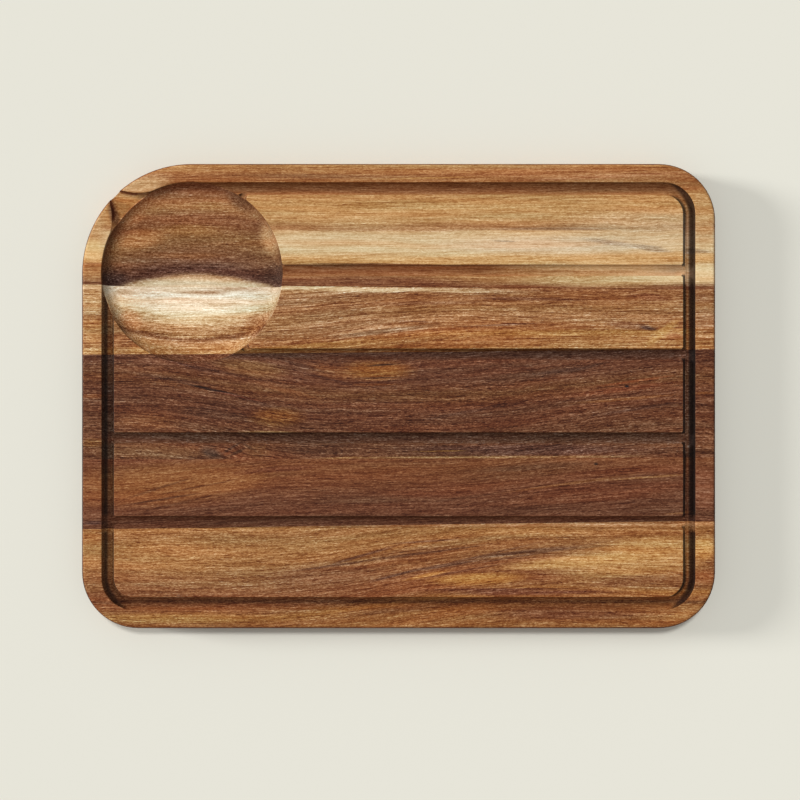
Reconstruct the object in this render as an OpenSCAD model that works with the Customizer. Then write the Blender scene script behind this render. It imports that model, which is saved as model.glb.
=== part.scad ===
// Carving board of five edge-glued staves, with a round bowl let into one
// corner, a pouring spout out of the bowl, a juice groove round the face and
// four straight grooves that divide the face into cutting lanes.
// X runs along the grain, Y across it, and Z up out of the cutting face.
// The origin is on the underside, at the middle of the board.

/* [Board] */
// Length of the board, along the grain
board_length = 450; // [420:5:520]
// Width of the board, across the grain
board_width = 330; // [315:5:345]
// Thickness of the board
board_thickness = 20; // [18:0.5:30]
// Radius of the three plain corners, seen from above
corner_radius = 40; // [32:1:46]
// Rounding along the top and bottom edges
edge_radius = 2.5; // [1:0.25:4]

/* [Staves] */
// First glue joint from the back: distance from the middle line at half length
joint_1_middle = 77.3; // [70:0.1:82]
// First glue joint: how far it climbs from the left end to the right end
joint_1_climb = -3.6; // [-5:0.1:5]
// Second glue joint: distance from the middle line at half length
joint_2_middle = 31.3; // [20:0.1:45]
// Second glue joint: how far it climbs from the left end to the right end
joint_2_climb = 3.8; // [-5:0.1:5]
// Third glue joint: distance from the middle line at half length
joint_3_middle = -44.3; // [-60:0.1:-38]
// Third glue joint: how far it climbs from the left end to the right end
joint_3_climb = 1.6; // [-5:0.1:5]
// Fourth glue joint: distance from the middle line at half length
joint_4_middle = -91.7; // [-100:0.1:-84]
// Fourth glue joint: how far it climbs from the left end to the right end
joint_4_climb = 5.6; // [-6:0.1:6]

/* [Juice groove] */
// From the left and right ends of the board to the middle of the groove
groove_end_margin = 18.7; // [16:0.1:21]
// From the back and front sides of the board to the middle of the groove
groove_side_margin = 17.8; // [16:0.1:21]
// Width of the groove at the face
groove_width = 9; // [8:0.5:11]
// Depth of the groove
groove_depth = 4; // [3.7:0.1:4]
// Bend of the groove at the three plain corners, along its middle
groove_bend = 18; // [12:1:26]

/* [Lane grooves] */
// Distance from one lane groove to the next
lane_pitch = 59.5; // [58:0.5:61]
// Width of a lane groove at the face
lane_groove_width = 8; // [7.5:0.5:9]
// Depth of a lane groove
lane_groove_depth = 3.6; // [2.4:0.1:3.6]

/* [Corners between grooves] */
// Radius of a lane's corner where a lane groove meets the juice groove
corner_ease = 1.5; // [1:0.25:3]
// Radius of a lane's corner where a groove meets the rim of the bowl
rim_ease = 2.5; // [1:0.25:3]
// Width of the narrower cutter that eases those corners
ease_width = 7; // [6:0.5:7]

/* [Bowl] */
// Radius of the bowl at its rim
bowl_radius = 64.4; // [56:0.1:66]
// Wood left between the rim of the bowl and the corner of the board round it
bowl_corner_margin = 13.6; // [12.5:0.1:15]
// Depth of the bowl at its middle
bowl_depth = 14; // [11:0.5:15]
// Straight part of the bowl's wall, below the face
bowl_wall = 1; // [0.5:0.25:2]
// How far the floor of the bowl dishes below the foot of its cove
bowl_dish = 3; // [0.5:0.25:4]

/* [Spout] */
// Width of the spout where it leaves the board
spout_width = 11; // [8:0.5:16]
// Depth of the spout's floor
spout_depth = 4.5; // [4:0.25:5.5]
// Radius of the two flared sides of the spout, seen from above
spout_flare = 36; // [30:1:42]

/* [Hidden] */
$fn = 96;

// How far each cutting shape stands above the face and past the sides
over = 2;

half_length = board_length / 2;
half_width = board_width / 2;
top = board_thickness;

// Middle lines of the juice groove
groove_x = half_length - groove_end_margin;
groove_y = half_width - groove_side_margin;

// The rim of the bowl just takes in the outer edge of the juice groove
rim_overlap = 0.3;
bowl_x = -groove_x - groove_width / 2 - rim_overlap + bowl_radius;
bowl_y = groove_y + groove_width / 2 + rim_overlap - bowl_radius;
bowl_cove = bowl_depth - bowl_wall - bowl_dish;

// The corner of the board that runs round the bowl, and its middle
bowl_corner_radius = bowl_radius + bowl_corner_margin;
corner_x = -half_length + bowl_corner_radius;
corner_y = half_width - bowl_corner_radius;

// The glue joints, from the back of the board to the front
joint_middle = [joint_1_middle, joint_2_middle, joint_3_middle, joint_4_middle];
joint_climb = [joint_1_climb, joint_2_climb, joint_3_climb, joint_4_climb];

// Where a glue joint is, at the distance x from the middle of the board
function joint_at(i, x) = joint_middle[i] + joint_climb[i] * x / board_length;

// Radius of the circle that cuts a groove of a given width and depth
function groove_circle(width, depth) = (width * width / 4 + depth * depth) / (2 * depth);

// Whether the lane groove at y runs into the bowl
function meets_bowl(y) = y - lane_groove_width / 2 > bowl_y - bowl_radius;

// The uncut board

// Section through a rounded side: the side's face is at x = width
module side_section(width) {
    square([width - edge_radius, top]);
    translate([0, edge_radius])
        square([width, top - 2 * edge_radius]);
    translate([width - edge_radius, edge_radius])
        circle(r = edge_radius);
    translate([width - edge_radius, top - edge_radius])
        circle(r = edge_radius);
}

// One rounded corner, as a quarter turn of the section about its middle
module board_corner(x, y, radius, start) {
    translate([x, y, 0])
        rotate([0, 0, start])
            rotate_extrude(angle = 90)
                side_section(radius);
}

// One straight side, as a bar of the section from one corner to the next
module board_side(x, y, turn, length, band) {
    translate([x, y, 0])
        rotate([0, 0, turn])
            rotate([90, 0, 0])
                linear_extrude(length)
                    side_section(band);
}

module board_blank() {
    plain = corner_radius;
    bowl_side = bowl_corner_radius;
    band = 3 * edge_radius + 5;
    left = -half_length;
    right = half_length;
    front = -half_width;
    back = half_width;
    board_corner(right - plain, back - plain, plain, 0);
    board_corner(left + bowl_side, back - bowl_side, bowl_side, 90);
    board_corner(left + plain, front + plain, plain, 180);
    board_corner(right - plain, front + plain, plain, 270);
    board_side(right - band, back - plain, 0, board_width - 2 * plain, band);
    board_side(left + bowl_side, back - band, 90, board_length - plain - bowl_side, band);
    board_side(left + band, front + plain, 180, board_width - plain - bowl_side, band);
    board_side(right - plain, front + band, 270, board_length - 2 * plain, band);
    board_middle(band - edge_radius, plain - edge_radius, bowl_side - edge_radius);
}

// The middle of the board, which laps the sides and corners round it. Its
// sides stand in from the board's own, and each corner is notched in further.
module board_middle(side, notch, bowl_notch) {
    left = -half_length;
    right = half_length;
    front = -half_width;
    back = half_width;
    linear_extrude(top)
        polygon([
            [right - side, back - notch],
            [right - notch, back - notch],
            [right - notch, back - side],
            [left + bowl_notch, back - side],
            [left + bowl_notch, back - bowl_notch],
            [left + side, back - bowl_notch],
            [left + side, front + notch],
            [left + notch, front + notch],
            [left + notch, front + side],
            [right - notch, front + side],
            [right - notch, front + notch],
            [right - side, front + notch]
        ]);
}

// What is cut out of the face

// Straight groove along X, from x1 to x2
module groove_along(x1, x2, y, width, depth) {
    r = groove_circle(width, depth);
    translate([x1, y, top - depth + r])
        rotate([0, 90, 0])
            cylinder(h = x2 - x1, r = r);
}

// Straight groove along Y, from y1 to y2
module groove_across(x, y1, y2, width, depth) {
    r = groove_circle(width, depth);
    translate([x, y1, top - depth + r])
        rotate([-90, 0, 0])
            cylinder(h = y2 - y1, r = r);
}

// Quarter bend of the juice groove
module groove_corner(x, y, start) {
    r = groove_circle(groove_width, groove_depth);
    translate([x, y, 0])
        rotate([0, 0, start])
            rotate_extrude(angle = 90)
                translate([groove_bend, top - groove_depth + r])
                    circle(r = r, $fn = 48);
}

// The juice groove runs from the rim of the bowl round the face and back to it
module juice_groove() {
    bend_x = groove_x - groove_bend;
    bend_y = groove_y - groove_bend;
    groove_along(bowl_x, bend_x, groove_y, groove_width, groove_depth);
    groove_corner(bend_x, bend_y, 0);
    groove_across(groove_x, -bend_y, bend_y, groove_width, groove_depth);
    groove_corner(bend_x, -bend_y, 270);
    groove_along(-bend_x, bend_x, -groove_y, groove_width, groove_depth);
    groove_corner(-bend_x, -bend_y, 180);
    groove_across(-groove_x, -bend_y, bowl_y, groove_width, groove_depth);
}

// A lane groove starts in the bowl if it meets it, or else in the juice groove
module lane_grooves() {
    for (i = [-1.5 : 1.5]) {
        y = i * lane_pitch;
        x = meets_bowl(y) ? bowl_x : -groove_x;
        groove_along(x, groove_x, y, lane_groove_width, lane_groove_depth);
    }
}

// A corner of a lane, eased by a narrow cutter that turns round the point
// (x, y) from one angle to another, a hair inside the walls that it joins
module eased_corner(x, y, ease, from, to) {
    depth = lane_groove_depth - 0.3;
    r = groove_circle(ease_width, depth);
    translate([x, y, 0])
        rotate([0, 0, from])
            rotate_extrude(angle = to - from, $fn = 72)
                translate([ease + 0.05 + ease_width / 2, top - depth + r])
                    circle(r = r, $fn = 48);
}

// The two corners where the lane groove at y runs into the juice groove's
// wall at x, with the lanes on the side that toward points to
module eased_pair(x, y, toward) {
    near = x + toward * corner_ease;
    off = lane_groove_width / 2 + corner_ease;
    turn = toward > 0 ? 180 : 270;
    eased_corner(near, y + off, corner_ease, turn, turn + 90);
    eased_corner(near, y - off, corner_ease, turn - 90 * toward, turn - 90 * toward + 90);
}

// A corner between the rim of the bowl and the edge of a groove along X,
// where side tells whether the lane lies above or below that edge
module eased_rim_corner(edge_y, side) {
    y = edge_y + side * rim_ease;
    reach = bowl_radius + rim_ease;
    x = bowl_x + sqrt(reach * reach - (y - bowl_y) * (y - bowl_y));
    turn = 180 + asin((y - bowl_y) / reach);
    if (side > 0)
        eased_corner(x, y, rim_ease, turn, 270);
    else
        eased_corner(x, y, rim_ease, 90, turn);
}

module eased_corners() {
    wall_x = groove_x - groove_width / 2;
    half_groove = lane_groove_width / 2;
    for (i = [-1.5 : 1.5]) {
        y = i * lane_pitch;
        eased_pair(wall_x, y, -1);
        if (!meets_bowl(y))
            eased_pair(-wall_x, y, 1);
        if (meets_bowl(y))
            eased_rim_corner(y + half_groove, 1);
        if (meets_bowl(y) && y > bowl_y - bowl_radius / 2)
            eased_rim_corner(y - half_groove, -1);
    }
    eased_rim_corner(groove_y - groove_width / 2, -1);
}

// Half of the bowl's section: a wall, a cove and a floor that dishes gently.
// The floor is an arc that runs into the cove's arc without a corner.
module bowl_section() {
    cove_x = bowl_radius - bowl_cove;
    cove_z = top - bowl_wall;
    below = bowl_depth - bowl_wall;
    floor_r = (cove_x * cove_x + below * below - bowl_cove * bowl_cove) / (2 * (below - bowl_cove));
    floor_z = cove_z - below + floor_r;
    reach = (bowl_cove + over) / (floor_r - bowl_cove);
    join_x = cove_x + cove_x * reach;
    join_z = cove_z + (cove_z - floor_z) * reach;
    translate([0, cove_z])
        square([bowl_radius, bowl_wall + over]);
    intersection() {
        translate([0, floor_z])
            circle(r = floor_r, $fn = 720);
        polygon([[0, cove_z], [cove_x, cove_z], [join_x, join_z], [0, join_z - over]]);
    }
    intersection() {
        translate([cove_x, cove_z])
            circle(r = bowl_cove);
        polygon([
            [cove_x, cove_z],
            [join_x, join_z],
            [bowl_radius + over, join_z],
            [bowl_radius + over, cove_z]
        ]);
    }
}

module bowl() {
    translate([bowl_x, bowl_y, 0])
        rotate_extrude($fn = 144)
            bowl_section();
}

// Section of one side of the spout: a quarter cove that runs into the floor
module spout_section() {
    cove = spout_depth;
    translate([spout_flare, top])
        square([cove, over]);
    intersection() {
        translate([spout_flare + cove, top])
            circle(r = cove);
        translate([spout_flare, top - cove])
            square([cove, cove]);
    }
    translate([spout_flare + cove, top - cove])
        square([bowl_radius, cove + over]);
}

// One half of the spout: outside a flare circle that just overlaps the rim of
// the bowl, and on this side of the diagonal through the corner
module spout_half() {
    flare_distance = bowl_radius + spout_flare - rim_overlap;
    edge = bowl_corner_radius + (bowl_x - bowl_y - corner_x + corner_y) / sqrt(2);
    spread = acos(
        (flare_distance * flare_distance + edge * edge - spout_flare * spout_flare)
        / (2 * flare_distance * edge)
    );
    turn = spread + asin(spout_width / 2 / edge);
    flare = [flare_distance * cos(turn), flare_distance * sin(turn)];
    intersection() {
        translate([flare[0], flare[1], 0])
            rotate_extrude()
                spout_section();
        linear_extrude(top + 2 * over)
            polygon([[0, 0], [flare_distance, 0], flare]);
    }
}

module spout() {
    translate([bowl_x, bowl_y, 0])
        rotate([0, 0, 135]) {
            spout_half();
            mirror([0, 1, 0])
                spout_half();
        }
}

// The staves

// The part of the board between a back line and a front line, each given as
// its place at the left end and at the right end
module stave(back, front) {
    end = half_length + over;
    difference() {
        intersection() {
            board_blank();
            translate([0, 0, -over])
                linear_extrude(top + 2 * over)
                    polygon([[-end, front[0]], [end, front[1]], [end, back[1]], [-end, back[0]]]);
        }
        juice_groove();
        lane_grooves();
        eased_corners();
        bowl();
        spout();
    }
}

// A glue joint's place at the two ends of the stave's outline
function joint_line(i) = [joint_at(i, -half_length - over), joint_at(i, half_length + over)];

// A line clear of the board, behind it or in front of it
function clear_line(side) = [side * (half_width + over), side * (half_width + over)];

// Golden stave at the back, with most of the bowl in it
module back_stave() {
    color("#b07a45")
        stave(clear_line(1), joint_line(0));
}

// Pale stave with the rest of the bowl
module cream_stave() {
    color("#c49a62")
        stave(joint_line(0), joint_line(1));
}

// Wide dark stave, which the front of the bowl just reaches
module wide_dark_stave() {
    color("#6f4329")
        stave(joint_line(1), joint_line(2));
}

// Narrow dark stave
module narrow_dark_stave() {
    color("#754830")
        stave(joint_line(2), joint_line(3));
}

// Golden stave along the front edge
module front_stave() {
    color("#a8713d")
        stave(joint_line(3), clear_line(-1));
}

back_stave();
cream_stave();
wide_dark_stave();
narrow_dark_stave();
front_stave();
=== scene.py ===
"""The looks of a carving board: five edge-glued staves of oiled acacia, seen straight from above."""

import math

import bpy
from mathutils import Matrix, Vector


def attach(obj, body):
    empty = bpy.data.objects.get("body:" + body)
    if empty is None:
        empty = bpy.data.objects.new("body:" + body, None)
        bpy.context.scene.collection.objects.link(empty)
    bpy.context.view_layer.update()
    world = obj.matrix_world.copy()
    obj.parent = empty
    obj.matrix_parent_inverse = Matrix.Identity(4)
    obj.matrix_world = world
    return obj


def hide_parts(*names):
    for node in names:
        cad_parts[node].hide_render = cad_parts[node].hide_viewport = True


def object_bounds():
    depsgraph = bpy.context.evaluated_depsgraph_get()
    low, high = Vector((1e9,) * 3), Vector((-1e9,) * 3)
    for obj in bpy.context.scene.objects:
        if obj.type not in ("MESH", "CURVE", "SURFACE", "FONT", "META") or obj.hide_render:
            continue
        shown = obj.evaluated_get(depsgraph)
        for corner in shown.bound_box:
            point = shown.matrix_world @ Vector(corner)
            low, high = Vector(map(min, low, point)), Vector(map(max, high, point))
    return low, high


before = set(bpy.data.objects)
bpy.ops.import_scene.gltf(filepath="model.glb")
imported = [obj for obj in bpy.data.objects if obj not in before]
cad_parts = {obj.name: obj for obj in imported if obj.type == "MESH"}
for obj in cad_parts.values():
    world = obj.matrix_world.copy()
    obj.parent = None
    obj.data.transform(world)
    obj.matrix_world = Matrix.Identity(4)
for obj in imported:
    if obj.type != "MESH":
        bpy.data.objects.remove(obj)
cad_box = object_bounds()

# Pattern sizes in the materials are in millimetres, like the board's own sizes
MM = 1000.0

# Height of the face, in metres
FACE = cad_box[1].z

# The board: its length, width and thickness, and the radius of its three plain corners
BOARD_LENGTH = 450
BOARD_WIDTH = 330
THICKNESS = 20
CORNER = 40

# The bowl: its middle, its radius at the lip, and the radius of the board's corner that bends round it
BOWL_X = -146.7
BOWL_Y = 87.6
BOWL_RADIUS = 64.4
BOWL_CORNER = 78

# The rim outside the juice groove is this wide, and its mask fades out over this much more
RIM_WIDTH = 9.5
RIM_FADE = 2

# How far from the middle the juice groove's end runs begin, and where they are there in full
END_RUN_START = 196
END_RUN_FULL = 202

# How far from the middle the board's outer ends begin, and where they are there in full
OUTER_END_START = 215
OUTER_END_FULL = 218

# Half width above which a spot counts as wide
WIDE_SPOT = 2.5

# How far from their middle the arches in the bowl have dropped by their sag
ARCH_REACH = 56

# No streak is darker than this
DARKEST = -0.7

# Shades that can make a colour lighter are written divided by this
GAIN = 1.8

# Painted light and shade on the walls and floors of the grooves along the board, from those that face the front edge
# to those that face the back, which get a painted highlight
GROOVE_PAINTED_LIGHT = (
    (-0.75, "#c8c8c8"),
    (-0.35, "#b3b3b3"),
    (0.05, "#b8b8b8"),
    (0.4, "#c5c5c5"),
    (0.75, "#e1e1e1"),
    (0.95, "#ffffff"),
)

# Shades of the end runs, from the wall that faces the middle of the board to the one that faces its end: partly the
# cutter's scorch on end grain, partly painted shade on the walls and a painted highlight along the right run's floor.
# The left run's come first, and the right run's lie further on by RIGHT_RUN.
RIGHT_RUN = 2.5
SCORCH_AND_PAINTED_LIGHT = (
    (-1, "#979797"),
    (-0.8, "#868686"),
    (-0.6, "#5f6061"),
    (-0.45, "#5c5d5d"),
    (-0.3, "#727374"),
    (-0.1, "#aaaaaa"),
    (0, "#c7c7c7"),
    (0.15, "#ababab"),
    (0.35, "#cacaca"),
    (0.5, "#c7c7c7"),
    (0.75, "#9ba1aa"),
    (1, "#9198a3"),
    (1.5, "#393534"),
    (1.8, "#4b4742"),
    (2.1, "#56504f"),
    (2.22, "#645e5b"),
    (2.36, "#8f8f8f"),
    (2.5, "#dbdbdb"),
    (2.65, "#f9f9f9"),
    (2.87, "#9e9e9e"),
    (3.07, "#55616e"),
    (3.3, "#76879b"),
)

# The bowl's wall, from its right side to its left, which shows darker end grain and gets painted shade, most on its
# left side
BOWL_GRAIN_AND_SHADE = ((-0.9, "#d8d8d8"), (-0.3, "#f4f4f4"), (0.0, "#ffffff"), (0.4, "#e0e0e0"), (0.8, "#a4a4a4"))

# The outside of the rim, from the underside up the side and over the rounded edge to the face: the side and the
# rounded edge are darker, partly from the oil they soak up and partly as painted shade
OUTER_EDGE_OIL_AND_SHADE = (
    (-1, "#ffffff"),
    (-0.6, "#dccfca"),
    (0, "#dccfca"),
    (0.3, "#a07c72"),
    (0.62, "#a07c72"),
    (0.9, "#ffffff"),
)

# Sockets of a Mix node: the two numbers, the two colours and the mixed colour
FIRST_NUMBER = 2
SECOND_NUMBER = 3
FIRST_COLOUR = 6
SECOND_COLOUR = 7
MIXED_COLOUR = 2


def linear(code):
    """Turns an sRGB hex colour into the linear colour that a shader takes."""
    parts = [int(code[i:i + 2], 16) / 255 for i in (1, 3, 5)]
    return [c / 12.92 if c <= 0.04045 else ((c + 0.055) / 1.055) ** 2.4 for c in parts] + [1.0]


def add(tree, kind, inputs, out=0, **settings):
    """Adds a node with its settings, gives each input a value or a link, and returns one output."""
    made = tree.nodes.new(kind)
    for name, value in settings.items():
        setattr(made, name, value)
    for key, value in inputs.items():
        if isinstance(value, bpy.types.NodeSocket):
            tree.links.new(value, made.inputs[key])
        else:
            made.inputs[key].default_value = value
    return made.outputs[out]


# Wood

def tones_along(tree, value, stops):
    """A colour that goes from tone to tone as the value goes from stop to stop."""
    low = stops[0][0]
    high = stops[-1][0]
    share = add(tree, "ShaderNodeMapRange", {"Value": value, "From Min": low, "From Max": high})
    colour = add(tree, "ShaderNodeValToRGB", {"Fac": share})
    points = colour.node.color_ramp.elements
    while len(points) < len(stops):
        points.new(1.0)
    for point, (place, tone) in zip(points, stops):
        point.position = (place - low) / (high - low)
        point.color = linear(tone)
    return colour


def oval(tree, place, x, y, half_length, half_width, turn, strength, core=0.3):
    """A value that is strength in the core of an oval, turned by degrees, and fades to nothing at its edge.

    The oval goes right through the board's thickness."""
    endless = 1e6
    sized = add(
        tree,
        "ShaderNodeMapping",
        {
            "Vector": place,
            "Location": (x, y, 0),
            "Rotation": (0, 0, math.radians(turn)),
            "Scale": (half_length, half_width, endless),
        },
        vector_type="TEXTURE",
    )
    reach = add(tree, "ShaderNodeVectorMath", {0: sized}, "Value", operation="LENGTH")
    return add(
        tree,
        "ShaderNodeMapRange",
        {"Value": reach, "From Min": 1, "From Max": core, "To Max": strength},
        interpolation_type="SMOOTHSTEP",
    )


def streaks(tree, grain, seed, along, across, detail=2.0, wander=0.0):
    """Noise drawn out along the grain, from -1 to 1. It repeats about every along by across millimetres.

    wander is how far the streaks are pushed out of their regular places."""
    place = add(
        tree,
        "ShaderNodeMapping",
        {"Vector": grain, "Location": (seed, seed, 0), "Scale": (1 / along, 1 / across, 1 / across)},
    )
    noise = add(
        tree,
        "ShaderNodeTexNoise",
        {"Vector": place, "Scale": 1, "Detail": detail, "Roughness": 0.55, "Distortion": wander},
    )
    return add(tree, "ShaderNodeMapRange", {"Value": noise, "From Min": 0.3, "From Max": 0.7, "To Min": -1})


def spotted(tree, colour, loose, tight, spots):
    """Lays streaks, stains and knots over a colour. Wide ones have ragged edges and thin ones crisp edges."""
    for x, y, half_length, half_width, turn, tone, strength in spots:
        place = loose if half_width > WIDE_SPOT else tight
        spot = oval(tree, place, x, y, half_length, half_width, turn, strength)
        colour = add(
            tree,
            "ShaderNodeMix",
            {0: spot, FIRST_COLOUR: colour, SECOND_COLOUR: linear(tone)},
            MIXED_COLOUR,
            data_type="RGBA",
        )
    return colour


def fibre_line(tree, mm, axes, seed, drift, bends, swells, curls):
    """The fibre that runs through each place, named by its distance across the board."""
    slow = streaks(tree, mm, seed, 200, 60, 0)
    ripple = streaks(tree, mm, seed + 31, 26, 12, 1)
    across = add(tree, "ShaderNodeMath", {0: slow, 1: drift, 2: axes["Y"]}, operation="MULTIPLY_ADD")
    across = add(tree, "ShaderNodeMath", {0: ripple, 1: 0.35, 2: across}, operation="MULTIPLY_ADD")
    for start, end, climb in bends:
        bend = add(
            tree,
            "ShaderNodeMapRange",
            {"Value": axes["X"], "From Min": start, "From Max": end, "To Max": -climb},
            interpolation_type="SMOOTHSTEP",
        )
        across = add(tree, "ShaderNodeMath", {0: across, 1: bend}, operation="ADD")
    for x, y, half_length, half_width, rise in swells:
        swell = oval(tree, mm, x, y, half_length, half_width, 0, rise, 0)
        across = add(tree, "ShaderNodeMath", {0: across, 1: swell}, operation="ADD")
    for x, y, half_length, half_width, size in curls:
        curl = oval(tree, mm, x, y, half_length, half_width, 0, size)
        across = add(tree, "ShaderNodeMath", {0: ripple, 1: curl, 2: across}, operation="MULTIPLY_ADD")
    return across


def rim_beyond(tree, past, radius):
    """A mask for the rim round a corner of this radius. past is how far a place lies out past its middle."""
    past = add(tree, "ShaderNodeVectorMath", {0: past, 1: (0, 0, 0)}, operation="MAXIMUM")
    past = add(tree, "ShaderNodeVectorMath", {0: past}, "Value", operation="LENGTH")
    start = radius - RIM_WIDTH - RIM_FADE
    return add(tree, "ShaderNodeMapRange", {"Value": past, "From Min": start, "From Max": start + RIM_FADE})


def cut_masks(tree, mm, axes, facing, bare_and_unshaded):
    """Masks for all that the cutter cut, for the bowl, for the grooves, and for the rim outside them."""
    # The sanded lips keep the look of the face, and no cut reaches the underside, which is planed too
    cut = add(
        tree, "ShaderNodeMapRange", {"Value": axes["Z"], "From Min": THICKNESS - 0.15, "From Max": THICKNESS - 1.0}
    )
    upward = add(tree, "ShaderNodeMapRange", {"Value": facing["Z"], "From Min": -0.6, "From Max": -0.2})
    cut = add(tree, "ShaderNodeMath", {0: cut, 1: upward}, operation="MULTIPLY")

    off = add(tree, "ShaderNodeVectorMath", {0: mm, 1: (BOWL_X, BOWL_Y, 0)}, operation="SUBTRACT")
    off = add(tree, "ShaderNodeVectorMath", {0: off, 1: (1, 1, 0)}, operation="MULTIPLY")
    reach = add(tree, "ShaderNodeVectorMath", {0: off}, "Value", operation="LENGTH")
    bowl = add(
        tree, "ShaderNodeMapRange", {"Value": reach, "From Min": BOWL_RADIUS + 0.2, "From Max": BOWL_RADIUS - 0.4}
    )
    bowl = add(tree, "ShaderNodeMath", {0: bowl, 1: cut}, operation="MULTIPLY")

    # Twice the thickness keeps the height out of the distance
    middle = (BOARD_LENGTH / 2 - CORNER, BOARD_WIDTH / 2 - CORNER, 2 * THICKNESS)
    past = add(tree, "ShaderNodeVectorMath", {0: mm}, operation="ABSOLUTE")
    past = add(tree, "ShaderNodeVectorMath", {0: past, 1: middle}, operation="SUBTRACT")
    rim = rim_beyond(tree, past, CORNER)
    past = add(tree, "ShaderNodeVectorMath", {0: off, 1: (-1, 1, 0)}, operation="MULTIPLY")
    bend = rim_beyond(tree, past, BOWL_CORNER)
    rim = add(tree, "ShaderNodeMath", {0: rim, 1: bend}, operation="MAXIMUM")

    inside = add(tree, "ShaderNodeMath", {0: 1.0, 1: rim}, operation="SUBTRACT")
    groove = add(tree, "ShaderNodeMath", {0: cut, 1: inside}, operation="MULTIPLY")
    groove = add(tree, "ShaderNodeMath", {0: groove, 1: bowl}, operation="SUBTRACT", use_clamp=True)
    # Bare places take little oil, and less of the painted light and shade of the grooves
    for x, y, half_length, half_width, strength in bare_and_unshaded:
        dry_and_unshaded = oval(tree, mm, x, y, half_length, half_width, 0, strength, 0.6)
        groove = add(tree, "ShaderNodeMath", {0: groove, 1: dry_and_unshaded}, operation="SUBTRACT", use_clamp=True)
    return cut, bowl, groove, rim


def scorch_and_painted_light(tree, axes, facing, groove, ends, strength):
    """Across the grain the cutter scorches the wood, and the groove's walls there get painted shade and a painted
    highlight as well. Gives a mask for where, and how dark or light each wall is.
    """
    side = add(tree, "ShaderNodeMath", {0: axes["X"]}, operation="SIGN")
    turned = add(tree, "ShaderNodeMath", {0: facing["X"], 1: side}, operation="MULTIPLY")
    right = add(tree, "ShaderNodeMath", {0: axes["X"], 1: 0}, operation="GREATER_THAN")
    turned = add(tree, "ShaderNodeMath", {0: right, 1: RIGHT_RUN, 2: turned}, operation="MULTIPLY_ADD")
    scorch_and_light = tones_along(tree, turned, SCORCH_AND_PAINTED_LIGHT)
    scorch_and_light = add(tree, "ShaderNodeVectorMath", {0: scorch_and_light, "Scale": GAIN}, operation="SCALE")

    end_run = add(tree, "ShaderNodeMapRange", {"Value": ends, "From Min": END_RUN_START, "From Max": END_RUN_FULL})
    corner_run = add(tree, "ShaderNodeMath", {0: facing["X"]}, operation="ABSOLUTE")
    corner_run = add(tree, "ShaderNodeMapRange", {"Value": corner_run, "From Min": 0.1, "From Max": 0.3})
    scorch_and_light_mask = add(tree, "ShaderNodeMath", {0: end_run, 1: corner_run}, operation="MAXIMUM")
    scorch_and_light_mask = add(tree, "ShaderNodeMath", {0: scorch_and_light_mask, 1: groove}, operation="MULTIPLY")
    scorch_and_light_mask = add(tree, "ShaderNodeMath", {0: scorch_and_light_mask, 1: strength}, operation="MULTIPLY")
    return scorch_and_light_mask, scorch_and_light


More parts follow.
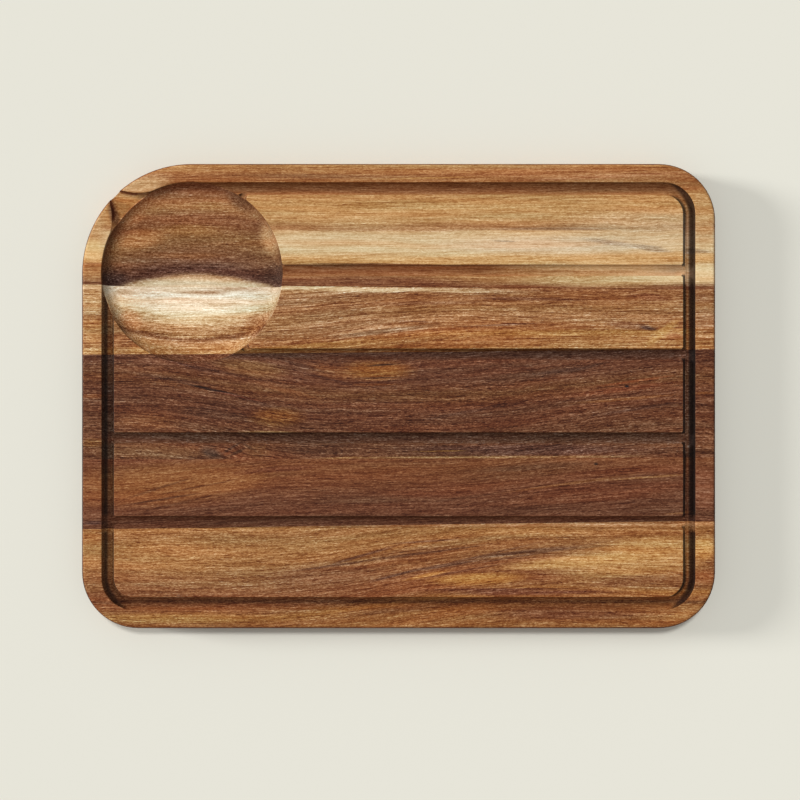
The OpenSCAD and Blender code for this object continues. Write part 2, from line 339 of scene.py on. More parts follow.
def oiled_acacia(
    name,
    seed,
    tones,
    drift=2.0,
    bends=(),
    swells=(),
    curls=(),
    spots=(),
    bare_and_unshaded=(),
    bowl=None,
    figure=1.0,
    grit=1.0,
    oil_and_shade=(0.61, 0.56, 0.53),
    scorch_and_light_share=1.0,
):
    """Edge-glued acacia, planed, routed and wiped with oil: satin, with streaks of light and dark along the grain.

    tones runs across the stave in millimetres, and drift is how far it wanders. bends are places where the
    fibres climb towards the back, swells where they sag or bow round something, and curls where they ripple.
    spots are streaks, stains and knots, and bare places are routed wood that takes little oil and less of the painted
    light and shade of the grooves. bowl is the sag of the arches in the bowl, their middle, their tones and their
    spots.
    figure and grit are the strength of the long and the short streaks, and oiled is how much of each colour the routed
    wood keeps, darker from oil and from painted shade in the grooves. scorched is how strongly the end runs of the
    groove show the cutter's scorch and their painted light and shade."""
    material = bpy.data.materials.new(name)
    material.use_nodes = True
    tree = material.node_tree
    tree.nodes.clear()
    local = add(tree, "ShaderNodeTexCoord", {}, "Object")
    mm = add(tree, "ShaderNodeMapping", {"Vector": local, "Scale": (MM, MM, MM)})
    axes = add(tree, "ShaderNodeSeparateXYZ", {"Vector": mm}).node.outputs
    facing = add(tree, "ShaderNodeTexCoord", {}, "Normal")
    facing = add(tree, "ShaderNodeSeparateXYZ", {"Vector": facing}).node.outputs
    ends = add(tree, "ShaderNodeMath", {0: axes["X"]}, operation="ABSOLUTE")
    cut, in_bowl, in_groove, on_rim = cut_masks(tree, mm, axes, facing, bare_and_unshaded)
    scorch_and_light_mask, scorch_and_light = scorch_and_painted_light(tree, axes, facing, in_groove, ends, scorch_and_light_share)
    across = fibre_line(tree, mm, axes, seed, drift, bends, swells, curls)
    grain = add(tree, "ShaderNodeCombineXYZ", {"X": axes["X"], "Y": across, "Z": axes["Z"]})

    # Real pores are 0.2 mm wide, too fine to show, so the shortest streaks are drawn 0.55 mm wide and 2.4 mm long
    short = streaks(tree, grain, seed + 41, 2.4, 0.55, 1, 1.2)
    fine = streaks(tree, grain, seed, 30, 0.6, 1)
    medium = streaks(tree, grain, seed + 3, 110, 4.2)
    broad = streaks(tree, grain, seed + 7, 300, 12, 1)
    warmth = streaks(tree, grain, seed + 23, 110, 7, 1)
    # Pores are only the strongest of their streaks, and a vein runs wherever its noise passes through zero
    pore = streaks(tree, grain, seed + 11, 10, 0.7, 0, 0.6)
    pore = add(tree, "ShaderNodeMapRange", {"Value": pore, "From Min": 0.45, "From Max": 1})
    vein = streaks(tree, grain, seed + 17, 420, 13, 1)
    vein = add(tree, "ShaderNodeMath", {0: vein}, operation="ABSOLUTE")
    vein = add(tree, "ShaderNodeMapRange", {"Value": vein, "From Min": 0.11, "From Max": 0})
    # Where the bowl cuts across the fibres, the pores show as short flecks
    flecks = streaks(tree, mm, seed + 61, 1.7, 0.9, 1, 0.8)
    flecks = add(tree, "ShaderNodeMath", {0: flecks, 1: in_bowl}, operation="MULTIPLY")

    # Colour across the stave, with ragged edges from tone to tone
    ragged = add(tree, "ShaderNodeMath", {0: medium, 1: 0.9, 2: across}, operation="MULTIPLY_ADD")
    ragged = add(tree, "ShaderNodeMath", {0: fine, 1: 0.35, 2: ragged}, operation="MULTIPLY_ADD")
    colour = tones_along(tree, ragged, tones)
    shift = add(tree, "ShaderNodeMath", {0: ragged, 1: across}, operation="SUBTRACT")
    loose = add(tree, "ShaderNodeMath", {0: shift, 1: axes["Y"]}, operation="ADD")
    loose = add(tree, "ShaderNodeCombineXYZ", {"X": axes["X"], "Y": loose})
    tight = add(tree, "ShaderNodeMath", {0: shift, 1: 0.3, 2: axes["Y"]}, operation="MULTIPLY_ADD")
    tight = add(tree, "ShaderNodeCombineXYZ", {"X": axes["X"], "Y": tight})
    colour = spotted(tree, colour, loose, tight, spots)

    # The bowl is cut down into other layers of the wood, which show as nested arches
    if bowl:
        sag, middle, bowl_tones, bowl_spots = bowl
        arch = add(tree, "ShaderNodeMath", {0: axes["X"], 1: middle}, operation="SUBTRACT")
        arch = add(tree, "ShaderNodeMath", {0: arch, 1: arch}, operation="MULTIPLY")
        level = add(tree, "ShaderNodeMath", {0: arch, 1: sag / ARCH_REACH ** 2, 2: ragged}, operation="MULTIPLY_ADD")
        hollow = spotted(tree, tones_along(tree, level, bowl_tones), loose, tight, bowl_spots)
        colour = add(
            tree,
            "ShaderNodeMix",
            {0: in_bowl, FIRST_COLOUR: colour, SECOND_COLOUR: hollow},
            MIXED_COLOUR,
            data_type="RGBA",
        )

    # Streaks: a dark one is darker and redder than the wood round it, as a power of its colour is
    depth = add(tree, "ShaderNodeMath", {0: short, 1: 0.32 * grit}, operation="MULTIPLY")
    for streak, weight in (
        (flecks, 0.15),
        (fine, 0.25 * figure),
        (medium, 0.075 * figure),
        (broad, 0.06 * figure),
        (pore, -0.24 * grit),
        (vein, -0.17 * figure),
    ):
        depth = add(tree, "ShaderNodeMath", {0: streak, 1: weight, 2: depth}, operation="MULTIPLY_ADD")
    # Pale sapwood is calmer than heartwood
    calm = add(tree, "ShaderNodeRGBToBW", {"Color": colour})
    calm = add(
        tree, "ShaderNodeMapRange", {"Value": calm, "From Min": 0.36, "From Max": 0.52, "To Min": 1, "To Max": 0.68}
    )
    depth = add(tree, "ShaderNodeMath", {0: depth, 1: calm}, operation="MULTIPLY")
    depth = add(tree, "ShaderNodeMath", {0: depth, 1: DARKEST}, operation="MAXIMUM")
    power = add(tree, "ShaderNodeMath", {0: 1.0, 1: depth}, operation="SUBTRACT")
    colour = add(tree, "ShaderNodeGamma", {"Color": colour, "Gamma": power})
    # Some places are warmer, and some cooler
    tint = add(
        tree,
        "ShaderNodeVectorMath",
        {0: warmth, 1: (0.04, -0.06, -0.12), 2: (1, 0.98, 0.95)},
        operation="MULTIPLY_ADD",
    )
    colour = add(tree, "ShaderNodeVectorMath", {0: colour, 1: tint}, operation="MULTIPLY")

    # Routed wood drinks more oil than the planed face, so the grooves are darker and redder; this darkening is partly
    # painted shade in the hollows, and the grooves' walls get painted light and shade by the way they face
    groove_painted_light = tones_along(tree, facing["Y"], GROOVE_PAINTED_LIGHT)
    groove_painted_light = add(tree, "ShaderNodeVectorMath", {0: groove_painted_light, "Scale": GAIN}, operation="SCALE")
    # Painted light and shade: the bowl grows darker from its left edge to its right
    painted_bowl_light = add(
        tree,
        "ShaderNodeMapRange",
        {"Value": axes["X"], "From Min": -205, "From Max": -88, "To Min": 1.4, "To Max": 0.86},
    )
    bowl_grain_and_shade = tones_along(tree, facing["X"], BOWL_GRAIN_AND_SHADE)
    bowl_grain_and_shade = add(tree, "ShaderNodeVectorMath", {0: bowl_grain_and_shade, "Scale": painted_bowl_light}, operation="SCALE")
    # Oil and painted shade darken the board's side and rounded edge
    edge = tones_along(tree, facing["Z"], OUTER_EDGE_OIL_AND_SHADE)
    for mask, shade in (
        # Oil and painted shade in the grooves
        (in_groove, (*oil_and_shade, 1)),
        (in_groove, groove_painted_light),
        # Scorch with painted shade and a painted highlight in the end runs
        (scorch_and_light_mask, scorch_and_light),
        # Darker end grain, and painted light and shade, in the bowl
        (in_bowl, bowl_grain_and_shade),
        (on_rim, edge),
    ):
        colour = add(
            tree,
            "ShaderNodeMix",
            {0: mask, FIRST_COLOUR: colour, SECOND_COLOUR: shade},
            MIXED_COLOUR,
            data_type="RGBA",
            blend_type="MULTIPLY",
        )

    # The ends of the board show end grain, which is darker too
    end = add(tree, "ShaderNodeMath", {0: facing["X"]}, operation="ABSOLUTE")
    end = add(tree, "ShaderNodeMapRange", {"Value": end, "From Min": 0.3, "From Max": 0.9, "To Min": 1, "To Max": 0.4})
    outer = add(tree, "ShaderNodeMapRange", {"Value": ends, "From Min": OUTER_END_START, "From Max": OUTER_END_FULL})
    end = add(tree, "ShaderNodeMix", {0: outer, FIRST_NUMBER: 1.0, SECOND_NUMBER: end})
    light = add(
        tree,
        "ShaderNodeVectorMath",
        {0: depth, 1: (0.75, 0.95, 1.1), 2: (1, 1, 1)},
        operation="MULTIPLY_ADD",
    )
    light = add(tree, "ShaderNodeVectorMath", {0: light, "Scale": end}, operation="SCALE")
    colour = add(tree, "ShaderNodeVectorMath", {0: colour, 1: light}, operation="MULTIPLY")

    relief = add(tree, "ShaderNodeMath", {0: pore, 1: -1.0, 2: short}, operation="MULTIPLY_ADD")
    bump = add(tree, "ShaderNodeBump", {"Height": relief, "Strength": 0.12, "Distance": 0.0001})
    # The cutter leaves the routed wood rougher than the planed face
    gloss = add(tree, "ShaderNodeMapRange", {"Value": fine, "From Min": -1, "To Min": 0.70, "To Max": 0.58})
    gloss = add(tree, "ShaderNodeMix", {0: cut, FIRST_NUMBER: gloss, SECOND_NUMBER: 0.8})
    finish = add(
        tree,
        "ShaderNodeBsdfPrincipled",
        {"Base Color": colour, "Roughness": gloss, "Specular IOR Level": 0.15, "Normal": bump},
    )
    surface = tree.nodes.new("ShaderNodeOutputMaterial")
    tree.links.new(finish, surface.inputs["Surface"])
    return material


# A tone is its distance from the middle line and its colour.
# A spot is x, y, half length, half width, turn in degrees, colour, strength.
WOODS = {
    # Golden heartwood with a cream band of sapwood and a dark strip along the glue joint
    "back_stave": oiled_acacia(
        "oiled_acacia_back",
        1.7,
        [
            (76, "#885332"),
            (79, "#824e2d"),
            (81, "#7a4729"),
            (83, "#8d5836"),
            (84.6, "#935f3a"),
            (85.6, "#a57146"),
            (86.6, "#ad7c4e"),
            (89, "#b27c4c"),
            (92, "#c48550"),
            (93.6, "#a7764c"),
            (94.6, "#c1945c"),
            (98, "#cca36b"),
            (103, "#d5b688"),
            (112, "#d9bc91"),
            (117, "#ceae80"),
            (119, "#aa7d52"),
            (120.5, "#af8457"),
            (124, "#c29561"),
            (133, "#bf925b"),
            (138, "#bd8e57"),
            (143, "#b88752"),
            (146, "#a57243"),
            (150, "#9a683b"),
            (152, "#9d6637"),
            (156, "#996237"),
            (160, "#a56d3c"),
            (163, "#ae7b47"),
            (166, "#ca9c62"),
        ],
        drift=0.6,
        curls=[(170, 120, 45, 26, 1.1), (120, 84, 50, 7, 0.8)],
        oil_and_shade=(0.59, 0.52, 0.53),
        scorch_and_light_share=0.94,
        bare_and_unshaded=[(-201, 134, 22, 22, 1.0), (130, 90, 76, 7, 0.5)],
        figure=0.62,
        grit=0.68,
        spots=[
            (-217, 122, 12, 28, 0, "#c09868", 0.95),
            (-217, 104, 12, 10, 0, "#e5c28a", 0.9),
            (-217, 88, 12, 9, 0, "#b17f4e", 0.8),
            (-182, 150, 26, 8, 14, "#cfa575", 0.85),
            (-199, 133, 20, 18, 0, "#b37b45", 0.85),
            # Painted shade on the left wall of the spout
            (-202, 128, 4.5, 15, 15, "#6b4328", 0.9),
            (75, 86, 80, 9, 0, "#b28452", 0.75),
            (150, 83, 90, 8, 0, "#c7a371", 0.95),
            (160, 92, 110, 5, 0, "#dcb680", 0.95),
            (0, 85.5, 500, 0.5, 0, "#b68350", 0.3),
            (222, 86, 90, 10, 0, "#dec395", 1.0),
            (110, 107, 110, 9, 0, "#d9c2a4", 0.65),
            (175, 120, 75, 16, 0, "#d0b28a", 0.55),
            (216, 128, 11, 30, 0, "#bc8e5a", 0.7),
            (110, 118.5, 60, 1.5, 0, "#8e6d52", 0.7),
            (150, 108.5, 26, 2.6, -7, "#8a7567", 0.4),
            (180, 104.5, 20, 2.6, -8, "#7c6a61", 0.42),
            (212, 103, 16, 2.6, -3, "#6e5d54", 0.42),
            (75, 110, 12, 0.9, -2, "#7c6a57", 0.6),
            (20, 154.6, 60, 1.0, 1, "#ba844b", 0.75),
            (140, 155.5, 80, 1.8, 3, "#995a37", 0.7),
            (120, 158, 90, 7, 0, "#af7a4c", 0.6),
            (-60, 156, 60, 2.4, 0, "#845330", 0.5),
            (-30, 93.8, 60, 0.6, 0, "#5d3a27", 0.8),
        ],
        bowl=(
            9.0,
            -146,
            [
                (78, "#d9c4a4"),
                (81, "#d5bf9e"),
                (84, "#d5bb96"),
                (86.3, "#ba9773"),
                (88.3, "#714e3b"),
                (90.5, "#583528"),
                (95, "#623e2d"),
                (100, "#795036"),
                (107, "#825837"),
                (116, "#8f6239"),
                (124, "#8a5836"),
                (130, "#885837"),
                (137, "#ad7a4c"),
                (142, "#a97248"),
                (146, "#a6704b"),
                # The last two tones darken the bowl's back wall: painted shade
                (149, "#8a583b"),
                (152, "#7c4f33"),
            ],
            [
                (-204, 84, 13, 11, 0, "#3a241e", 0.75),
                # Painted light on the bowl's upper left wall
                (-189, 131, 8, 20, -45, "#aa7046", 0.85),
                (-112, 139, 17, 9, -35, "#69432a", 0.7),
                (-136, 137, 15, 3.5, 0, "#ad7d4c", 0.6),
                # Painted light over the left of the bowl, where the side lamp's shadow falls
                (-186, 112, 24, 9, 8, "#bc8352", 0.75),
                (-150, 119, 30, 5, 0, "#a67644", 0.5),
                (-92, 113, 10, 16, 15, "#ce9e6d", 0.85),
                (-88, 88, 14, 10, 0, "#492d21", 0.7),
                (-150, 101, 40, 3, 0, "#8e623d", 0.5),
            ],
        ),
    ),
    # Golden heartwood that ends in pale sapwood, with a small knot at the right
    "cream_stave": oiled_acacia(
        "oiled_acacia_cream",
        5.1,
        [
            (30, "#ab7441"),
            (34, "#b17b41"),
            (36.5, "#9d6336"),
            (40, "#9d663a"),
            (44, "#98683e"),
            (48, "#9d6e43"),
            (52, "#a37345"),
            (57, "#9d693e"),
            (62, "#98663c"),
            (66, "#93623b"),
            (69, "#9f6e45"),
            (72, "#b78b5d"),
            (75, "#caa377"),
            (78, "#d4b387"),
            (80, "#dbbe98"),
        ],
        drift=1.2,
        figure=1.04,
        grit=0.95,
        scorch_and_light_share=0.98,
        bends=[(-110, 60, 12)],
        curls=[(165, 74, 40, 5, 0.8)],
        spots=[
            (-217, 73, 12, 8, 0, "#d3b78f", 0.95),
            (-217, 68, 12, 14, 0, "#c19460", 0.9),
            (-217, 45, 12, 16, 0, "#ca9860", 0.7),
            (-196, 38, 10, 14, 0, "#9c693f", 0.7),
            (-35, 52, 55, 16, 0, "#aa7c55", 0.4),
            (40, 40, 110, 6, 0, "#9d6234", 0.55),
            (-10, 46, 50, 2.6, 7, "#93785b", 0.5),
            (90, 69, 55, 1.8, -1, "#7e4c30", 0.8),
            (20, 66, 60, 1.8, 1, "#845334", 0.6),
            (75, 50.5, 34, 1.0, 2, "#673e2d", 0.65),
            (12, 53, 20, 0.8, -2, "#6f4835", 0.6),
            (-30, 75.8, 150, 2.6, -0.8, "#ddbd90", 0.8),
            (165, 50, 24, 4, -8, "#865333", 0.75),
            (177, 48.5, 9, 2.6, -14, "#553529", 0.9),
            (187, 45, 19, 4.5, 38, "#c08e51", 0.85),
            (195, 43, 9, 3.5, 0, "#9c5b33", 0.7),
            (178, 70, 20, 3, -4, "#925b3a", 0.6),
            (216, 69, 10, 4, -8, "#92603c", 0.7),
            (217, 52, 12, 16, 0, "#ae8058", 0.5),
            (216, 55, 10, 3, 0, "#8d6644", 0.5),
        ],
        bowl=(
            -9.0,
            -147,
            [
                (31, "#c2915c"),
                (36, "#c99b69"),
                (38.5, "#c89c6f"),
                (40.2, "#915f3a"),
                (42, "#804e2d"),
                (43.5, "#a67648"),
                (47, "#bd9367"),
                (51, "#c5a175"),
                (55, "#d0b083"),
                (57.5, "#e1cca6"),
                (62, "#ebdbbe"),
                (70, "#ede1cb"),
                (79, "#e8d9be"),
            ],
            [
                (-140, 74.5, 24, 2.2, 0, "#b68c65", 0.7),
                (-158, 70, 14, 1.6, 0, "#ccaa83", 0.7),
                (-128, 66, 20, 2.0, 0, "#cfb088", 0.6),
                (-120, 77, 30, 2.6, 0, "#c6a584", 0.7),
                (-196, 75, 12, 3, 0, "#c4a27c", 0.6),
                (-192, 55, 12, 9, -50, "#cf9b6c", 0.65),
                (-104, 50, 16, 9, 30, "#996234", 0.65),
                (-98, 44, 14, 5, 20, "#7c4c31", 0.5),
            ],
        ),
    ),
    # Dark heartwood with curved figure and brighter stains
    "wide_dark_stave": oiled_acacia(
        "oiled_acacia_dark",
        9.3,
        [
            (-46, "#673d25"),
            (-42, "#693d26"),
            (-38, "#613a22"),
            (-34, "#7a472a"),
            (-30, "#6e4127"),
            (-24, "#6b4127"),
            (-14, "#693e25"),
            (-5, "#673b23"),
            (5, "#693d25"),
            (15, "#6e4122"),
            (25, "#683c25"),
            (34, "#693d26"),
        ],
        figure=0.72,
        grit=0.96,
        oil_and_shade=(0.58, 0.68, 0.86),
        bends=[(-200, -40, -16), (40, 215, 14)],
        swells=[(-20, 34, 85, 36, 10)],
        curls=[(60, 10, 70, 20, 0.7), (-115, -40, 22, 7, 1.6)],
        spots=[
            (-180, -40, 60, 9, 0, "#7b5232", 0.85),
            (-133, -40, 12, 6, -20, "#4b3325", 0.9),
            (-118, -36.5, 12, 1.4, 30, "#40271c", 0.7),
            (-104, -37.5, 12, 1.4, -30, "#462c1f", 0.7),
            (-111, -39.5, 8, 2.0, 0, "#7c4e30", 0.7),
            (-100, -40, 12, 8, 0, "#7a502e", 0.6),
            (-115, -40, 10, 1.6, 22, "#4d3220", 0.7),
            (90, -38, 130, 6, 0, "#502e22", 0.8),
            (-55, -38, 40, 8, 0, "#5c3b28", 0.6),
            (60, -43.4, 150, 1.2, 0.3, "#a77f51", 0.7),
            (-45, -44.2, 25, 1.0, 3, "#a27748", 0.7),
            (30, -39.3, 25, 0.6, 1, "#a2743c", 0.7),
            (-92, -25.4, 26, 1.0, 0, "#a27b4c", 0.65),
            (-105, 20, 34, 8, -8, "#885c34", 0.75),
            (-180, -18, 30, 8, 0, "#824f2c", 0.7),
            (-86, -15, 24, 9, 0, "#8c592a", 0.8),
            (-130, -12, 34, 10, 0, "#5e3a27", 0.5),
            (-16, 18, 34, 9, 0, "#935822", 0.8),
            (-48, 17, 22, 6, -14, "#834a22", 0.6),
            (-16, 8, 30, 1.0, 0, "#885027", 0.6),
            (-14, 13, 26, 0.9, 2, "#492719", 0.7),
            (-12, 22, 15, 1.2, 4, "#3b2017", 0.8),
            (-128, 3.5, 40, 1.2, -13, "#341d15", 0.95),
            (-112, -0.5, 22, 0.9, -12, "#9d441d", 0.4),
            (-178, 13, 26, 0.9, -5, "#5b2f1f", 0.6),
            (-150, 21.5, 30, 1.0, -17, "#532f23", 0.6),
            (-95, 11, 34, 1.0, -9, "#593520", 0.6),
            (-20, -5.5, 60, 1.2, 1, "#5b2e1a", 0.6),
            (160, -2, 50, 1.4, 5, "#8d5830", 0.8),
            (170, 11, 40, 1.2, 8, "#894420", 0.6),
            (132, 20, 22, 1.6, 14, "#4c2c1d", 0.7),
            (90, 14, 60, 6, 10, "#5b3a25", 0.5),
            (-160, 12, 45, 2.2, -9, "#4a2a1e", 0.55),
            (-105, -3, 30, 2.0, -17, "#4e2c1f", 0.5),
            (-140, 20, 40, 1.6, -12, "#4f2d20", 0.45),
            (-70, 22, 40, 1.8, -16, "#4a2819", 0.5),
            (-50, 12, 36, 1.2, -14, "#45241a", 0.5),
            (-80, 4, 30, 2.4, -14, "#8a4f2a", 0.45),
            (50, -11, 55, 1.8, 10, "#4a2a1d", 0.5),
            (115, 18, 32, 2.0, 7.7, "#472a20", 0.5),
            (160, 5, 50, 2.4, 7.2, "#83472a", 0.45),
            (170, -9, 45, 1.6, 9, "#4f2e22", 0.5),
            (162, 6.8, 2.2, 1.1, 0, "#171920", 1.0),
            (-217, 0, 12, 2.2, 0, "#8a4e27", 0.6),
            (-217, -33, 12, 4, 0, "#8d5d2c", 0.6),
            (217, 2, 12, 1.4, 2, "#935c2f", 0.6),
        ],
    ),
    # Red-brown heartwood, quieter than the one beside it
    "narrow_dark_stave": oiled_acacia(
        "oiled_acacia_red_brown",
        14.9,
        [
            (-94, "#643a24"),
            (-82, "#6f4027"),
            (-72, "#774628"),
            (-62, "#7a4928"),
            (-52, "#754528"),
            (-45, "#764328"),
        ],
        figure=0.56,
        grit=0.74,
        oil_and_shade=(0.62, 0.64, 0.68),
        bare_and_unshaded=[(0, -90, 900, 7, 0.33)],
        bends=[(-215, -60, 13), (20, 215, 13)],
        spots=[
            (-165, -62, 85, 20, 4, "#975f33", 0.8),
            (-120, -62, 40, 7, 10, "#a3693b", 0.5),
            (-170, -73.5, 42, 1.0, 9, "#57301b", 0.8),
            (-140, -64, 40, 0.8, 11, "#683a20", 0.6),
            (-172, -66, 36, 1.3, 18, "#5a321c", 0.5),
            (-160, -77, 40, 1.3, 13, "#5c341e", 0.5),
            (60, -70, 50, 1.6, 8, "#54321f", 0.45),
            (150, -68, 45, 1.6, 9, "#50301f", 0.45),
            (-85, -52, 40, 2.6, 4, "#693722", 0.6),
            (-30, -72, 50, 6, 0, "#653f28", 0.5),
            (100, -50, 60, 4, 5, "#623f28", 0.6),
            (120, -62, 60, 1.4, 8, "#8c5a33", 0.7),
            (130, -72, 80, 6, 4, "#81482b", 0.5),
            (175, -57.5, 40, 1.0, 4, "#946135", 0.7),
            (140, -48, 2.2, 1.4, 0, "#311e15", 1.0),
            (-217, -90, 12, 2, 0, "#4e2f25", 0.8),
            (-217, -65, 12, 16, 0, "#91572f", 0.6),
            (217, -66, 12, 20, 0, "#885337", 0.8),
            (200, -83, 16, 1, 3, "#915e36", 0.6),
        ],
    ),
    # Golden brown heartwood with dark and bright flames
    "front_stave": oiled_acacia(
        "oiled_acacia_golden",
        21.3,
        [
            (-166, "#955f31"),
            (-162, "#915c31"),
            (-158, "#a4703a"),
            (-154, "#8e5b32"),
            (-150, "#8e5731"),
            (-145, "#89532e"),
            (-140, "#85512e"),
            (-134, "#8f5c35"),
            (-126, "#98653a"),
            (-118, "#9d6a3b"),
            (-108, "#a27140"),
            (-100, "#9f6c3e"),
            (-93, "#a67643"),
            (-86, "#c0864f"),
        ],
        drift=1.5,
        figure=0.7,
        grit=0.92,
        scorch_and_light_share=0.97,
        bends=[(-120, 120, 20)],
        curls=[(-150, -120, 40, 12, 0.8)],
        bare_and_unshaded=[(0, -92, 900, 6, 0.4)],
        spots=[
            (-165, -113, 60, 16, 0, "#b17b47", 0.8),
            (-217, -108, 12, 18, 0, "#ad7843", 0.7),
            (-217, -134, 12, 8, 0, "#8e5c33", 0.7),
            (-150, -157, 70, 5, 0, "#b28148", 0.8),
            (-50, -126, 60, 11, 4, "#845232", 0.75),
            (-40, -108, 40, 4, 12, "#a97543", 0.6),
            (10, -112, 45, 6, 8, "#815130", 0.65),
            (-25, -113, 34, 1.4, 16, "#694130", 0.8),
            (20, -103, 35, 1.2, 4, "#724d39", 0.7),
            (-2, -127, 26, 1.5, 14, "#5e3a2a", 0.85),
            (35, -120, 40, 1.8, 9, "#6c4733", 0.8),
            (20, -111, 62, 1.3, 7.5, "#603924", 0.8),
            (-45, -120, 40, 1.2, 8, "#633b27", 0.7),
            (85, -111, 50, 2.0, 7, "#73503b", 0.75),
            (125, -108, 40, 1.4, 5, "#765135", 0.7),
            (60, -113, 60, 1.0, 13, "#6b4330", 0.55),
            (95, -112, 70, 1.1, 9.6, "#6e4732", 0.6),
            (45, -124, 45, 1.0, 10, "#6b412c", 0.6),
            (55, -130, 45, 5.5, 2, "#ba8443", 0.85),
            (20, -127, 22, 1.8, 12, "#b88142", 0.8),
            (130, -117, 80, 6, 5, "#c59255", 0.8),
            (168, -118, 75, 20, 4, "#d1a061", 0.6),
            (0, -91.0, 500, 2.4, 0, "#c99667", 0.75),
            (180, -107, 45, 9, 3, "#c59155", 0.7),
            (90, -96, 60, 4, 0, "#b17d47", 0.6),
            (70, -137.0, 80, 1.0, 0.6, "#673623", 0.8),
            (95, -139, 90, 3.4, 0, "#6f3d2a", 0.85),
            (-20, -139.5, 60, 4, 0, "#7e4827", 0.6),
            (165, -131, 50, 5.5, 6, "#86512f", 0.7),
            (110, -154, 50, 5, 0, "#733f24", 0.7),
            (120, -154, 90, 9, 0, "#79472a", 0.6),
            (150, -155, 30, 3, 0, "#744124", 0.5),
            (0, -152, 60, 2.6, 3, "#7e4f2f", 0.6),
            # Painted shadow on the back wall of the bottom groove
            (0, -146.2, 500, 2.3, 0, "#522e1a", 0.6),
            (217, -108, 12, 11, 0, "#cf9c5a", 0.8),
            (217, -129, 12, 7, 0, "#a36538", 0.45),
            (200, -156, 16, 6, 20, "#b37d47", 0.7),
        ],
    ),
}


# Staves

# Glue joints, from the back: distance from the middle line and climb over the board's length, in millimetres
JOINTS = ((77.3, -3.6), (31.3, 3.8), (-44.3, 1.6), (-91.7, 5.6))

# A point this near a glue joint, in millimetres, lies in it
ON_JOINT = 0.02

# Sandpaper rounds the lips of the grooves and the bowl by this much, in metres
LIP = 0.0004

# An edge that turns more than the first is a lip, and one that turns less than the second is shaded smooth
LIP_TURN = math.radians(25)
SMOOTH_TURN = math.radians(50)

# A face of the planed top looks up this squarely, and lies this near the top's height, in metres
FACES_UP = 0.9999
ON_FACE = 1e-5

# Points nearer than this, in metres, are merged, and triangles that turn less than this become one face
MERGE = 1e-6
FLAT_TURN = math.radians(0.3)


def is_glued(face, points):
    """Whether a face lies in a glue joint, where there is no lip to sand."""
    for middle, climb in JOINTS:
        if all(
            abs(points[i].co.y * MM - middle - climb * points[i].co.x * MM / BOARD_LENGTH) < ON_JOINT
            for i in face.vertices
        ):
            return True
    return False


def sanded_stave(name, wood):
    """Copies a packed stave, and rounds the lips where the face meets the routed wood."""
    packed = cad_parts[name]
    bpy.ops.object.select_all(action="DESELECT")
    stave = packed.copy()
    stave.data = packed.data.copy()
    stave.name = name + "_sanded"
    bpy.context.scene.collection.objects.link(stave)
    stave.select_set(True)
    bpy.context.view_layer.objects.active = stave
    bpy.ops.object.mode_set(mode="EDIT")
    bpy.ops.mesh.select_all(action="SELECT")
    bpy.ops.mesh.customdata_custom_splitnormals_clear()
    bpy.ops.mesh.remove_doubles(threshold=MERGE)
    bpy.ops.mesh.dissolve_limited(angle_limit=FLAT_TURN)
    bpy.ops.mesh.select_all(action="DESELECT")
    bpy.ops.object.mode_set(mode="OBJECT")

    mesh = stave.data
    beside = {}
    for face in mesh.polygons:
        for key in face.edge_keys:
            beside.setdefault(key, []).append(face)
    for edge in mesh.edges:
        pair = beside[edge.key]
        planed = [f for f in pair if f.normal.z > FACES_UP and f.center.z > FACE - ON_FACE]
        turn = pair[0].normal.angle(pair[1].normal)
        glued = any(is_glued(f, mesh.vertices) for f in pair)
        edge.select = len(planed) == 1 and turn > LIP_TURN and not glued
    bpy.ops.object.mode_set(mode="EDIT")
    bpy.ops.mesh.select_mode(type="EDGE")
    bpy.ops.mesh.bevel(offset=LIP, segments=3, affect="EDGES", clamp_overlap=False)
    bpy.ops.object.mode_set(mode="OBJECT")
    bpy.ops.object.shade_smooth_by_angle(angle=SMOOTH_TURN)
    weighted = stave.modifiers.new("even", "WEIGHTED_NORMAL")
    weighted.keep_sharp = True
    bpy.ops.object.modifier_apply(modifier=weighted.name)

    mesh.materials.clear()
    mesh.materials.append(wood)
    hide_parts(name)
    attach(stave, "root")


for node_name, wood in WOODS.items():
    sanded_stave(node_name, wood)


# Floor, light and camera

# Share of the plain level that comes from each light: all round, from the back and from the left
FILL_SHARE = 0.38
KEY_SHARE = 0.39
SIDE_SHARE = 0.23


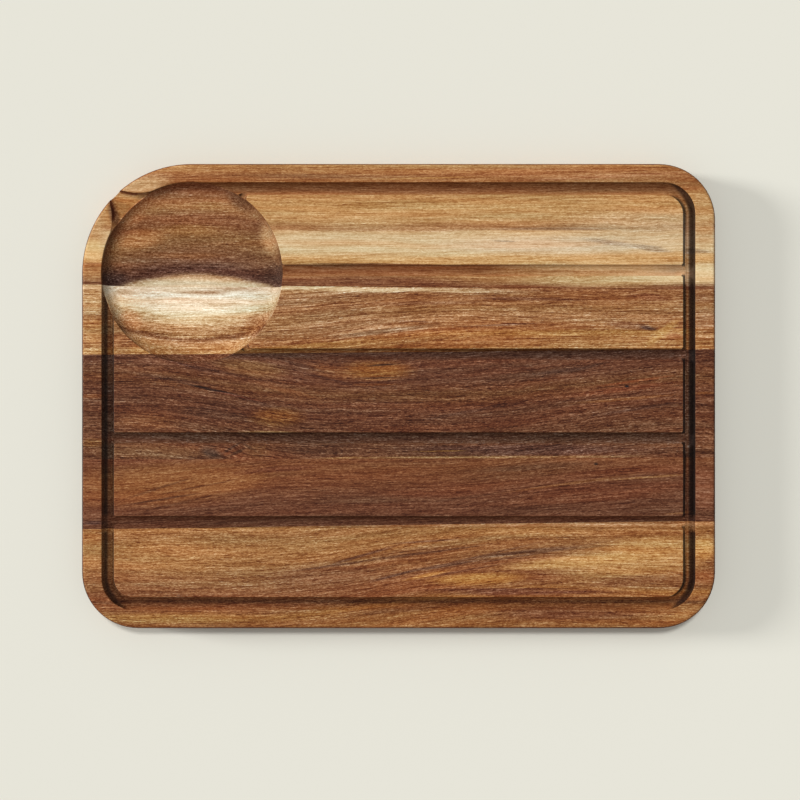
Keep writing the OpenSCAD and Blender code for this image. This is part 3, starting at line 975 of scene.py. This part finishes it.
def lamp(name, share, azimuth, elevation, softness):
    """A distant lamp, with its angles in degrees. Azimuth is 0 behind the board's back edge and grows to the left."""
    data = bpy.data.lights.new(name, "SUN")
    data.energy = share * math.pi / math.sin(math.radians(elevation))
    data.angle = math.radians(softness)
    made = bpy.data.objects.new(name, data)
    turn = math.radians(azimuth)
    rise = math.radians(elevation)
    towards = Vector((-math.sin(turn) * math.cos(rise), math.cos(turn) * math.cos(rise), math.sin(rise)))
    made.rotation_mode = "QUATERNION"
    made.rotation_quaternion = towards.to_track_quat("Z", "Y")
    bpy.context.scene.collection.objects.link(made)


lamp("key_lamp", KEY_SHARE, azimuth=5, elevation=68, softness=9)
lamp("side_lamp", SIDE_SHARE, azimuth=80, elevation=15, softness=12)

world = bpy.data.worlds.new("studio")
bpy.context.scene.world = world
world.use_nodes = True
world.node_tree.nodes.clear()
sky = add(world.node_tree, "ShaderNodeBackground", {"Color": (1, 1, 1, 1), "Strength": FILL_SHARE})
world_end = world.node_tree.nodes.new("ShaderNodeOutputWorld")
world.node_tree.links.new(sky, world_end.inputs["Surface"])

# Matt painted floor, warm off-white, so wide in metres that its far edge is seldom seen
FLOOR_SIZE = 40
bpy.ops.object.select_all(action="DESELECT")
bpy.ops.mesh.primitive_plane_add(size=FLOOR_SIZE)
floor = bpy.context.object
floor.name = "floor"
paint = bpy.data.materials.new("matt_paint")
paint.use_nodes = True
coat = paint.node_tree.nodes["Principled BSDF"].inputs
coat["Base Color"].default_value = linear("#e7e5d9")
coat["Roughness"].default_value = 1.0
coat["Specular IOR Level"].default_value = 0.0
floor.data.materials.append(paint)

# The camera looks straight down on the face from this height. The frame shows this width of the face, and its
# middle lies a little off the board's, all in metres.
CAMERA_HEIGHT = 0.9
FRAME_WIDTH = 0.5674
FRAME_X = 0.001
FRAME_Y = -0.0028
SENSOR_MM = 36
camera_data = bpy.data.cameras.new("camera")
camera_data.sensor_width = SENSOR_MM
camera_data.lens = SENSOR_MM * CAMERA_HEIGHT / FRAME_WIDTH
camera = bpy.data.objects.new("camera", camera_data)
camera.location = (FRAME_X, FRAME_Y, FACE + CAMERA_HEIGHT)
bpy.context.scene.collection.objects.link(camera)
bpy.context.scene.camera = camera

bpy.context.scene.view_settings.view_transform = "Standard"
